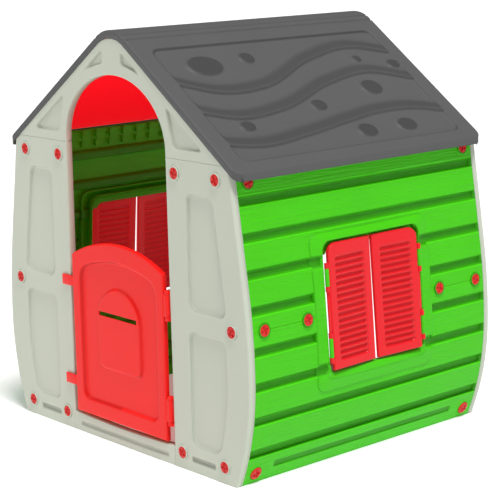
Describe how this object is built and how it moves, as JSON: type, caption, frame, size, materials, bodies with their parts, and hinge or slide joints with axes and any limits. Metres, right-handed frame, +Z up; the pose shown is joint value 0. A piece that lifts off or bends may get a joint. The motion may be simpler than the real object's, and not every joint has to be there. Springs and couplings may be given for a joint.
{
  "type": "plastic playhouse",
  "caption": "Small walk-in plastic playhouse with arched gable ends, bulging moulded board walls, louvred window shutters, a half door and a pitched roof.",
  "frame": {"origin": "centre of the footprint's bounding box, on the floor", "axes": "+X to the right across the gables seen from the door side, +Y from the door side to the back along the roof ridge, +Z up"},
  "size_m": [1.0324, 0.8835, 1.09],
  "materials": {
    "pale_plastic": "satin moulded, pale grey green",
    "green_plastic": "satin moulded with wood grain, bright green",
    "roof_plastic": "fine matt texture, mid grey",
    "lining_plastic": "smooth, red",
    "screw_plastic": "smooth moulded, red",
    "door_plastic": "smooth moulded, red",
    "shutter_plastic": "smooth moulded, red"
  },
  "bodies": {
    "house": {"front_column_left": "pale_plastic", "front_column_right": "pale_plastic", "front_gable_top": "pale_plastic", "front_threshold": "pale_plastic", "back_column_left": "pale_plastic", "back_column_right": "pale_plastic", "back_gable_top": "pale_plastic", "back_threshold": "pale_plastic", "side_wall_left_lower": "green_plastic", "side_wall_left_upper": "green_plastic", "side_wall_right_lower": "green_plastic", "side_wall_right_upper": "green_plastic", "roof_panel_left": "roof_plastic", "roof_panel_right": "roof_plastic", "roof_lining_left": "lining_plastic", "roof_lining_right": "lining_plastic", "front_gable_screws": "screw_plastic", "back_gable_screws": "screw_plastic", "left_wall_screws": "screw_plastic", "right_wall_screws": "screw_plastic", "door_hinge_clip_upper": "door_plastic", "door_hinge_clip_lower": "door_plastic"},
    "door": {"door": "door_plastic"},
    "shutter_left_front": {"shutter_left_front": "shutter_plastic"},
    "shutter_left_back": {"shutter_left_back": "shutter_plastic"},
    "shutter_right_front": {"shutter_right_front": "shutter_plastic"},
    "shutter_right_back": {"shutter_right_back": "shutter_plastic"}
  },
  "joints": [
    {"name": "door_hinge", "type": "hinge", "parent": "house", "child": "door", "pos_m": [0.2, -0.436, 0.278], "axis": [0, 0, 1], "range_deg": [0, 105]},
    {"name": "shutter_right_back_hinge", "type": "hinge", "parent": "house", "child": "shutter_right_back", "pos_m": [0.49995, 0.1665, 0.41016], "axis": [-0.0785, 0, 0.9969], "range_deg": [0, 160]},
    {"name": "shutter_right_front_hinge", "type": "hinge", "parent": "house", "child": "shutter_right_front", "pos_m": [0.49995, -0.1665, 0.41016], "axis": [0.0785, 0, -0.9969], "range_deg": [0, 160]},
    {"name": "shutter_left_back_hinge", "type": "hinge", "parent": "house", "child": "shutter_left_back", "pos_m": [-0.49995, 0.1665, 0.41016], "axis": [-0.0785, 0, -0.9969], "range_deg": [0, 160]},
    {"name": "shutter_left_front_hinge", "type": "hinge", "parent": "house", "child": "shutter_left_front", "pos_m": [-0.49995, -0.1665, 0.41016], "axis": [0.0785, 0, 0.9969], "range_deg": [0, 160]}
  ]
}
